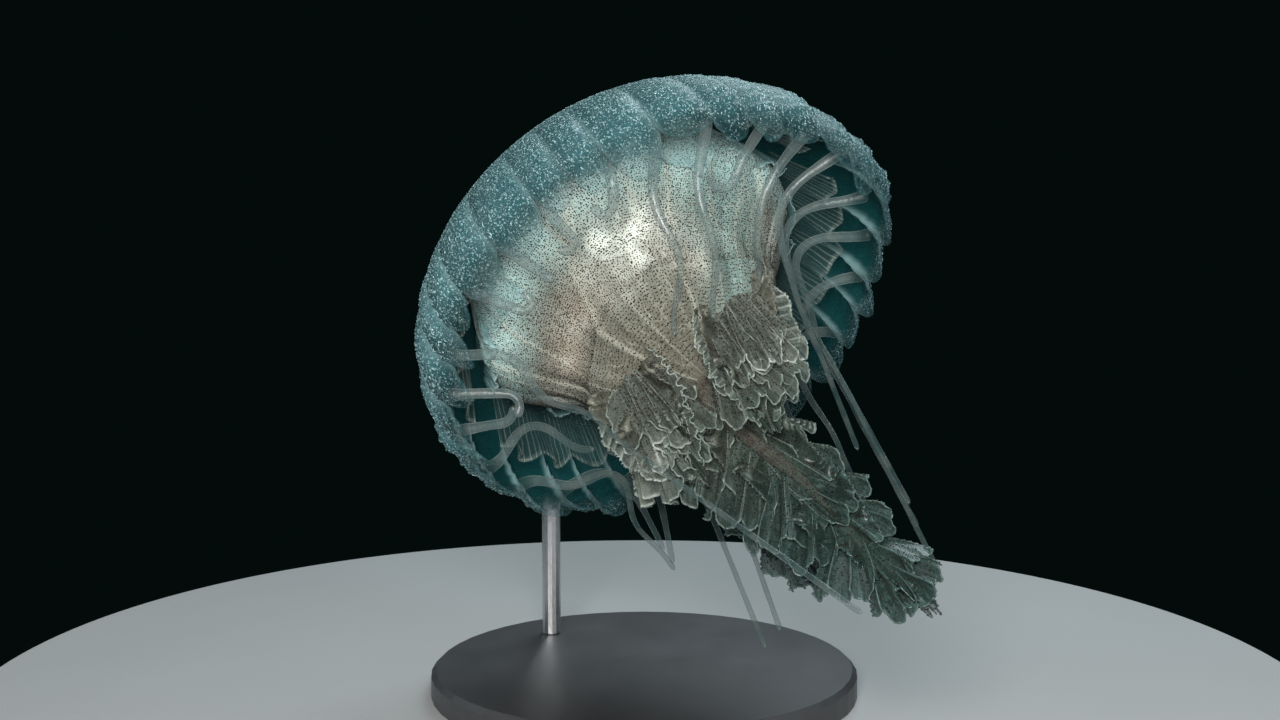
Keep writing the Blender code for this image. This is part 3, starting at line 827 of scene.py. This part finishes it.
def flap_form(root, heading, facing, length, root_width, hem_width, folds, along, seed):
    down = np.array([0, 0, -1.0])
    heading = heading / np.linalg.norm(heading)
    facing = facing - heading * (facing @ heading)
    facing = facing / np.linalg.norm(facing)
    across = np.cross(heading, facing)

    def form(u, v):
        w = 2 * u - 1
        width = (root_width + (hem_width - root_width) * smooth(v) ** 0.8) / 2
        hang = 1.04 - 0.30 * w**2 + 0.06 * np.sin(4.3 * w + seed)
        run = pi * folds * w + seed + 0.9 * np.sin(1.7 * w + seed) + 0.8 * v * np.sin(3 * w + 2 * seed)
        second = 2.4 * run + seed + 0.7 * v * np.sin(5 * w + seed)
        deep = 0.36 * hem_width / folds * v**0.8
        lift = deep * (np.sin(run) + 0.28 * np.sin(second) * smooth(v * 1.4 - 0.2))
        sway, slide, _ = ruffle(w * width, smooth((v - 0.66) / 0.34), 0.0030, seed * 3)
        wilt = 0.16 * length * np.sin(pi * 0.5 * v) * np.sin(seed * 5) - 0.22 * width * w**2
        grown = length * v * hang
        crinkle = smooth((np.abs(w) - 0.88) / 0.12) * v * np.sin(v * length / 0.0021 * 2 * pi + seed)
        fringe = smooth((v - 0.82) / 0.10) * np.sin(w * width / 0.0011 * 2 * pi + 1.5 * np.sin(9 * w))
        points = root + heading * (grown + 0.00018 * fringe)[:, None]
        points = points + across * (width * w + slide + 0.30 * deep * np.cos(run) + 0.0003 * crinkle)[:, None]
        points = points + facing * (lift + 0.6 * sway + wilt + 0.0003 * crinkle + 0.00016 * fringe)[:, None]
        points = points + down * (0.22 * length * v**2 * (1 + heading[2]))[:, None]
        crest = smooth((np.sin(run) - 0.95) / 0.05)
        crest = crest + 0.6 * smooth((np.sin(second) - 0.95) / 0.05) * smooth(v * 2)
        crest = np.maximum(np.minimum(crest, 1) * smooth(v * 5), 0.35 * smooth(fringe * 1.4))
        marks = {
            "edge": np.maximum(v**4, smooth((np.abs(w) - 0.96) / 0.04) * 0.88),
            "fold": 0.5 + 0.5 * np.sin(run),
            "crease": crest,
            "along": along + 0.12 * v,
        }
        return points, marks

    return form


def arm_flaps(name, shape):
    """Where an arm's flaps grow, which way they hang, and how big they are."""
    out, across = arm_sides(shape)
    down = np.array([0, 0, -1.0])
    rows = []
    if name in ("arm_1", "arm_3"):
        places = ((-0.75, -0.30, 0.10), (-0.85, -0.45, 0.0))
        if name == "arm_3":
            places = ((-0.60, 0.0, 0.45), (-0.80, -0.15, 0.50))
        for tier, (s, size) in enumerate(((-0.16, 0.031), (0.12, 0.030), (0.48, 0.024))):
            for place in places[tier % 2]:
                centre, half = arm_line(shape, np.array([max(s, 0.0)]))
                centre = centre[0] + down * min(s, 0) * shape[4] * -1
                lean = place + chance.normal(0, 0.12)
                root = centre + across * half[0] * place * 0.8 + out * (0.0015 + 0.003 * (1 - abs(place)))
                heading = down + across * (lean * 0.34 + chance.normal(0, 0.10))
                heading = heading + out * chance.uniform(0.02, 0.34)
                facing = out + across * lean * 0.7
                length = size * chance.uniform(0.78, 1.18)
                hem = chance.uniform(0.0150, 0.0200)
                creases = chance.uniform(2.4, 3.6)
                rows.append((root, heading, facing, length, 0.60 * hem, hem, creases, s * 0.30))
    else:
        size = 1.0 if name == "arm_4" else 0.66
        count = 7 if name == "arm_4" else 4
        for number in range(count + 1):
            for hand in (-1, 1):
                s = 0.02 + 0.84 * (number + (0.45 if hand > 0 and number < count else 0)) / count
                centre, half = arm_line(shape, np.array([s]))
                angle = 20 - 9 * s if hand > 0 or name == "arm_2" else 38 - 20 * s
                angle = radians((angle if number < count else 9) + chance.normal(0, 3))
                root = centre[0] + across * hand * half[0] * 0.10 + out * (0.0008 + 0.0004 * (count - number))
                rise = 0.45 * sin(angle) + chance.uniform(0.03, 0.16)
                heading = across * hand * sin(angle) + down * cos(angle) + out * rise
                facing = out - across * hand * chance.uniform(-0.1, 0.35)
                length = 0.025 - 0.010 * s if hand > 0 else 0.030 - 0.013 * s
                length = size * length * chance.uniform(0.9, 1.1)
                hem = (0.026 - 0.011 * s) * size
                rows.append((root, heading, facing, length, 0.52 * hem, hem, chance.uniform(2.2, 3.4), s))
    return rows


def lip_tissue():
    """Soft cream tissue, see-through in the folds, with painted shade in the fold valleys, painted highlights
    along the creases and pale hems.
    """
    made = Flesh("lip_flesh", Roughness=0.42)
    edge = made.mark("edge")
    crease = made.mark("crease")
    along = made.mark("along")
    fold = made.mark("fold")
    tint = made.mix(along.step(0.0, 0.6), (0.150, 0.175, 0.148), (0.024, 0.046, 0.040))
    # Painted shade, darkening the fold valleys below.
    shade = made.mix(along.step(0.0, 0.5), (0.036, 0.052, 0.044), (0.008, 0.020, 0.017))
    tint = made.mix(fold.step(0.6, 0.0) * 0.6, tint, shade)
    lit = made.noise(80, 2.0).step(0.42, 0.62)
    pale = made.mix(lit, (0.34, 0.40, 0.345), (0.76, 0.83, 0.76))
    lower = made.mix(along.step(0.2, 0.8), (0.27, 0.34, 0.30), (0.095, 0.160, 0.146))
    pale = made.mix(along.step(0.0, 0.25), pale, lower)
    scratch = made.noise(620, 3.0, 0.8)
    veins = 1 - (scratch - 0.5).maths("ABSOLUTE").step(0.006, 0.04)
    tint = made.mix(veins * 0.25, tint, pale)
    hem = edge.step(0.82, 1.0) * (1.1 - along * 0.6)
    # Painted highlights: pale lines along the fold ridges. The pale hems are the tissue's own.
    tint = made.mix((hem * 0.62).maths("MAXIMUM", crease * 0.55), tint, pale)
    made.feed(Base_Color=tint)
    solid = 0.15 + along * 0.62 + hem * 0.26 + crease * 0.20 + veins * 0.07 + fold * 0.05
    made.feed(Alpha=solid.maths("MINIMUM", 0.97))
    made.bump(crease + scratch * 0.3, 0.00016)
    return made.made


lip = lip_tissue()
chance = np.random.default_rng(12)
for name, shape in ARMS.items():
    flaps = []
    flecks = []
    for number, row in enumerate(arm_flaps(name, shape)):
        form = flap_form(*row, 0.7 + 1.3 * number)
        flap = solidify(wrap_grid(f"{name}_flap_{number}", 72, 40, form), 0.0003)
        flap.data.materials.append(lip)
        flaps.append(flap)
        u, v = freckle_spots(form, lambda v: row[4] + (row[5] - row[4]) * v, row[3], 0.00106)
        spots, side, ahead, out = set_on(form, u, v, 0.002)
        sizes = 0.00022 * chance.uniform(0.5, 1.2, len(u)) * (1 - smooth((v - 0.78) / 0.2))
        keep = sizes > 0.00008
        bead = modelled_bead("freckle", 4, 1.0, 2.4, 1.0)
        bead.data.transform(Matrix.Translation((0, 0, -1.08)))
        kept = [part[keep] for part in (spots, side, ahead, out, sizes)]
        fleck = strew(f"{name}_fleck_{number}", bead, *kept)
        fleck.data.materials.append(freckled)
        flecks.append(fleck)
    for piece in (join(name + "_flaps", flaps), join(name + "_flap_freckles", flecks)):
        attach(piece, "root")


# ---------------------------------------------------------------- ribs
# A soft brown rib, crowded with freckles, stands out of the flaps down the middle of each long
# arm and thins away past its middle.


def rib_form(shape, seed):
    out, across = arm_sides(shape)
    length = shape[4]

    def form(u, v):
        s = 0.01 + 0.68 * v
        centre, _ = arm_line(shape, s)
        half = 0.0036 * (1 - 0.74 * v) * smooth((1 - v) * 9) * (1 + 0.10 * np.sin(19 * v + seed))
        turn = 2 * pi * u
        sway = 0.0012 * np.sin(8 * v + seed)
        groove = 0.30 * np.exp(-((np.cos(turn) / 0.22) ** 2)) * (np.sin(turn) > 0)
        rise = 0.0048 - 0.0016 * v + half * np.sin(turn) * (0.60 - groove)
        points = centre + across * (half * np.cos(turn) + sway)[:, None] + out * rise[:, None]
        return points, {"edge": np.abs(np.cos(turn)), "along": s * min(1, length / 0.1), "groove": groove}

    return form


def rib_tissue():
    made = Flesh("rib_flesh", Roughness=0.55, Specular_IOR_Level=0.2)
    edge = made.mark("edge")
    tint = made.mix(made.mark("along").step(0.0, 0.7), (0.135, 0.122, 0.100), (0.042, 0.060, 0.052))
    tint = made.mix(made.noise(420, 3.0).step(0.40, 0.65) * 0.6, tint, (0.040, 0.033, 0.027))
    tint = made.mix(edge.step(0.82, 1.0) * 0.6, tint, (0.20, 0.22, 0.18))
    made.feed(Base_Color=tint)
    made.feed(Alpha=0.66 - edge.step(0.6, 1.0) * 0.35)
    made.bump(made.noise(700, 3.0), 0.0003)
    return made.made


brown = rib_tissue()
for name in ("arm_2", "arm_4"):
    form = rib_form(ARMS[name], 1.3)
    rib = close_up(wrap_grid(name + "_rib", 40, 220, form))
    rib.data.materials.append(brown)
    u, v = freckle_spots(form, lambda v: 0.020 * (1 - 0.7 * v), ARMS[name][4] * 0.68, 0.00095)
    front = (u > 0.04) & (u < 0.46)
    u, v = u[front], v[front]
    spots, side, ahead, out = set_on(form, u, v, 0.001)
    out = out * np.sign(out @ arm_sides(ARMS[name])[0])[:, None]
    bead = modelled_bead("freckle", 4, 1.0, 1.2)
    sizes = 0.00027 * chance.uniform(0.6, 1.2, len(u))
    dots = strew(name + "_rib_freckles", bead, spots, side, ahead, out, sizes)
    dots.data.materials.append(freckled)
    for piece in (rib, dots):
        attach(piece, "root")


# ---------------------------------------------------------------- lips
# Along the edges of the short arms run full lips: narrow ribbons so long for their place that
# they lie in tight gathers within gathers, like the edge of a lettuce leaf.

LIPS = {
    "arm_1": ((-0.97, 0.05, 1.0, 0.0046, 0.0040, 0.3), (0.97, 0.05, 1.0, 0.0046, 0.0038, 1.7)),
    "arm_3": ((-0.97, 0.05, 1.0, 0.0046, 0.0038, 0.9), (0.97, 0.05, 1.0, 0.0046, 0.0040, 2.2)),
}


def lip_form(shape, where, start, end, width, gather, seed):
    out, across = arm_sides(shape)
    length = shape[4] * (end - start)

    def form(u, v):
        s = start + (end - start) * u
        centre, half = arm_line(shape, s)
        a = abs(where)
        lift = 0.42 * half * a**1.4 + 0.0012 * (1 - a) ** 3
        fade = np.sin(pi * np.clip(u, 0, 1)) ** 0.35
        sway, slide, run = ruffle(u * length, v, gather, seed)
        reach = width * v * fade * (1 + 0.18 * np.sin(run * 0.29 + seed))
        grow = out * (1 - 0.55 * a) + across * where
        grow = grow / np.linalg.norm(grow)
        aside = np.cross(grow, np.array([0, 0, 1.0]))
        points = centre + across * (half * where)[:, None] + out * lift[:, None]
        points = points + grow * (reach * 0.75 - 0.0008)[:, None] + aside * (sway * fade)[:, None]
        teeth = smooth((v - 0.9) / 0.1) * np.sin(2 * pi * u * length / 0.0008)
        points = points + grow * (0.00035 * teeth * fade)[:, None]
        points[:, 2] -= reach * 0.55 - slide * fade
        crest = smooth((np.sin(run) - 0.85) / 0.15)
        along = s * min(1, shape[4] / 0.1) * 0.6
        marks = {"edge": v, "fold": 0.5 + 0.5 * np.sin(run), "crease": crest, "along": along}
        return points, marks

    return form


for name, rows in LIPS.items():
    ribbons = []
    for number, row in enumerate(rows):
        form = lip_form(ARMS[name], *row)
        length = ARMS[name][4] * (row[2] - row[1])
        ribbon = solidify(wrap_grid(f"{name}_lip_{number}", int(length / 0.00020), 13, form), 0.0003)
        ribbon.data.materials.append(lip)
        ribbons.append(ribbon)
    lips = join(name + "_lips", ribbons)
    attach(lips, "root")


# ---------------------------------------------------------------- tentacles
# A smooth hollow tentacle hangs from all but every fourth cleft of the hem. The near ones are
# drawn up and hooked, and the others are paid out and trail below the mouth.

TENTACLES = {
    9.0: (0.130, 0.054, -0.15, 0.05, 14, 0, -15),
    22.5: (0.138, 0.048, -0.18, 0.10, 14, 0, -14),
    36.0: (0.112, 0.042, -0.15, 0.05, -6, 0, -5),
    54.0: (0.100, 0.038, -0.18, 0.05, -10, 0, 0),
    67.5: (0.084, 0.036, -0.22, 0.05, 0, 0, 0),
    81.0: (0.090, 0.045, -0.25, 0.05, -15, 0, 0),
    99.0: (0.100, 0.045, -0.25, 0.05, 0, 0, 10),
    112.5: (0.096, 0.045, -0.20, 0.05, 0, 0, 25),
    126.0: (0.060, 0.045, -0.35, 0.00, 0, 0, 25),
    144.0: (0.062, 0.050, -0.10, 0.00, 0, 0, 25),
    157.5: (0.080, 0.060, 0.00, 0.00, 35, 0, 25),
    171.0: (0.045, 0.080, 0.10, 0.00, -40, 0, 25),
    189.0: (0.021, 0.080, 0.10, 0.00, 0, -90, 25),
    202.5: (0.027, 0.080, 0.10, 0.00, 0, 110, 25),
    216.0: (0.168, 0.035, 0.26, -0.12, -24, 0, 45),
    234.0: (0.025, 0.080, 0.30, 0.00, 0, -190, 25),
    247.5: (0.020, 0.080, 0.10, 0.00, 0, 0, 25),
    261.0: (0.023, 0.080, 0.10, 0.00, 0, 170, 25),
    279.0: (0.025, 0.020, -0.80, 0.00, 0, 150, 25),
    292.5: (0.062, 0.050, -0.52, 0.20, 20, 0, 25),
    306.0: (0.060, 0.050, -0.52, 0.20, 14, 0, 25),
    324.0: (0.034, 0.030, -1.20, 0.20, 0, 170, -10),
    337.5: (0.050, 0.045, -0.60, 0.20, 0, 0, -5),
    351.0: (0.108, 0.048, -0.26, 0.10, 6, 0, -8),
}
TENTACLE_THICK = 0.00132
TENTACLE_THIN = 0.00066
CURL_AXIS = Vector((0, 0.766, 0.643))


def tentacle_route(azimuth, shape, steps):
    length, turn, drift_x, drift_y, wave, hook, dip = shape
    angle = radians(azimuth)
    out = Vector((cos(angle), sin(angle), 0))
    radius, height = bell_side(CLEFT_LIMIT, EDGE_WALL)
    spot = out * (float(radius) - 0.0027) + Vector((0, 0, float(height) - 0.0005))
    first = -out * cos(radians(dip)) - Vector((0, 0, sin(radians(dip))))
    last = Vector((drift_x, drift_y, -1)).normalized()
    points = [spot - first * 0.0022, spot - first * 0.0011, spot.copy()]
    step = length / steps
    for i in range(steps):
        s = (i + 0.5) * step
        heading = first.lerp(last, float(smooth(s / turn))).normalized()
        bend = radians(wave) * sin(2 * pi * s / 0.040)
        bend *= 1 - float(smooth((s - 0.045) / 0.040))
        bend += radians(hook) * float(smooth((s / length - 0.6) / 0.4))
        heading = Matrix.Rotation(bend, 3, CURL_AXIS) @ heading
        spot = spot + heading * step
        points.append(spot.copy())
    return np.array(points)


def tentacle_form(azimuth, shape):
    steps = int(shape[0] / 0.0008)
    route = tentacle_route(azimuth, shape, steps)
    ahead = unit(np.gradient(route, axis=0))
    flat = np.array(CURL_AXIS)
    flat = unit(flat - ahead * (ahead @ flat)[:, None])
    wide = np.cross(ahead, flat)

    def form(u, v):
        row = np.rint(v * (len(route) - 1)).astype(int)
        s = np.maximum(row - 2, 0) / steps * shape[0]
        radius = TENTACLE_THICK + (TENTACLE_THIN - TENTACLE_THICK) * smooth(s / 0.070)
        radius = radius * (1 + 0.05 * np.sin(2 * pi * s / 0.0130 + azimuth))
        end = np.clip((len(route) - 1 - row) / 3.0, 0, 1)
        radius = radius * np.sqrt(1 - (1 - end) ** 2) * np.where(row == 0, 0.0, 1.0)
        flare = 1.10 + 0.40 * np.exp(-s / 0.005)
        a = 2 * pi * u
        points = route[row] + wide[row] * (np.sin(a) * radius * flare)[:, None]
        points = points + flat[row] * (np.cos(a) * radius * 0.72)[:, None]
        return points, {"paid": s, "brink": np.abs(np.sin(a))}

    return form, len(route) - 1


def feeler_flesh():
    """Clear grey jelly with a painted pale sheen along both edges, darker where paid out."""
    made = Flesh("tentacle_flesh", Roughness=0.30)
    paid = made.mark("paid")
    # Painted sheen: both edges of each flattened tentacle are paler and more opaque.
    brink = made.mark("brink").step(0.72, 0.98)
    mottle = made.noise(170, 2.0).step(0.35, 0.65)
    tint = made.mix(paid.step(0.0, 0.07), (0.115, 0.165, 0.163), (0.030, 0.060, 0.060))
    tint = made.mix(mottle * 0.30, tint, (0.17, 0.17, 0.15))
    pale = made.mix(paid.step(0.0, 0.09), (0.27, 0.35, 0.345), (0.060, 0.110, 0.108))
    made.feed(Base_Color=made.mix(brink * 0.75, tint, pale))
    made.feed(Alpha=(0.26 + mottle * 0.08 + brink * 0.34) * paid.step(0.0, 0.006, 0.2, 1.0))
    made.bump(mottle, 0.0002)
    return made.made


feeler = feeler_flesh()
strands = []
for azimuth, shape in TENTACLES.items():
    form, rows = tentacle_form(azimuth, shape)
    strand = close_up(wrap_grid("strand", 12, rows, form))
    strand.data.materials.append(feeler)
    strands.append(strand)
tentacles = join("tentacle_strands", strands)
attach(tentacles, "root")
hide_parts(*(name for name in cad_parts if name.startswith("tentacle_")))


# ---------------------------------------------------------------- stand
# The animal is carried on a turned steel disc, painted satin black, by one brushed steel rod
# that is bent square to the bell and opens into a shallow cup.


def satin_paint():
    made = Flesh("stand_paint", Roughness=0.45)
    grime = made.noise(60, 4.0)
    made.feed(Base_Color=made.mix(grime, (0.020, 0.021, 0.023), (0.035, 0.036, 0.038)))
    made.feed(Roughness=grime * 0.12 + 0.38)
    made.bump(made.noise(2500, 1.0), 0.00003)
    return made.made


def brushed_rod():
    made = Flesh("stand_steel", Metallic=1.0)
    brushed = made.noise(900, 3.0)
    made.feed(Base_Color=made.mix(brushed, (0.46, 0.47, 0.48), (0.62, 0.63, 0.64)))
    made.feed(Roughness=brushed * 0.2 + 0.22)
    made.bump(brushed, 0.00004)
    return made.made


for node, finish in (("stand_base", satin_paint()), ("stand_rod", brushed_rod())):
    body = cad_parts[node]
    body.data.materials.clear()
    body.data.materials.append(finish)


# ---------------------------------------------------------------- floor, light and camera
# A plain pale round table top in a dark studio, soft lamps above and around, and the viewpoint.

bpy.ops.object.select_all(action="DESELECT")
bpy.ops.mesh.primitive_circle_add(vertices=160, radius=0.21, fill_type="NGON", location=(0, 0, -0.0003))
floor = bpy.context.object
floor.name = "floor"
table = Flesh("floor_pale", Roughness=0.75)
table.feed(Base_Color=table.mix(table.noise(8), (0.27, 0.275, 0.275), (0.31, 0.315, 0.315)))
floor.data.materials.append(table.made)

studio = bpy.data.worlds.new("studio")
studio.use_nodes = True
studio.node_tree.nodes["Background"].inputs["Color"].default_value = (0.0012, 0.0036, 0.0032, 1)
studio.node_tree.nodes["Background"].inputs["Strength"].default_value = 1.0
bpy.context.scene.world = studio
bpy.context.scene.view_settings.view_transform = "Standard"
bpy.context.scene.cycles.transparent_max_bounces = 32


def soft_lamp(name, place, target, size, watts, colour=(1, 1, 1)):
    lamp = bpy.data.lights.new(name, "AREA")
    lamp.size = size
    lamp.energy = watts
    lamp.color = colour
    made = bpy.data.objects.new(name, lamp)
    made.location = place
    made.rotation_euler = (Vector(target) - Vector(place)).to_track_quat("-Z", "Y").to_euler()
    made.visible_camera = False
    bpy.context.scene.collection.objects.link(made)


middle = (0.0, -0.02, 0.13)
soft_lamp("key", (-0.04, -0.68, 0.30), (-0.01, -0.03, 0.15), 0.20, 8.5, (1.0, 0.98, 0.96))
soft_lamp("fill", (0.70, -0.55, 0.25), middle, 0.6, 2.5, (0.92, 0.97, 1.0))
soft_lamp("back", (0.20, 0.40, 0.65), middle, 0.5, 5, (0.80, 0.95, 1.0))
soft_lamp("left", (-0.75, 0.15, 0.25), middle, 0.5, 1.5, (0.80, 0.95, 1.0))

ELEVATION = radians(8)
aim = Vector((0.004, -0.018, 0.122)) + Vector((-0.0053, 0, 0))
aim = aim - Vector((0, sin(ELEVATION), cos(ELEVATION))) * 0.0156
lens = bpy.data.cameras.new("camera")
lens.lens = 60
lens.sensor_width = 36
lens.clip_start = 0.01
camera = bpy.data.objects.new("camera", lens)
camera.location = aim - Vector((0, cos(ELEVATION), -sin(ELEVATION))) * 0.630
camera.rotation_euler = (radians(90) - ELEVATION, 0, 0)
bpy.context.scene.collection.objects.link(camera)
bpy.context.scene.camera = camera
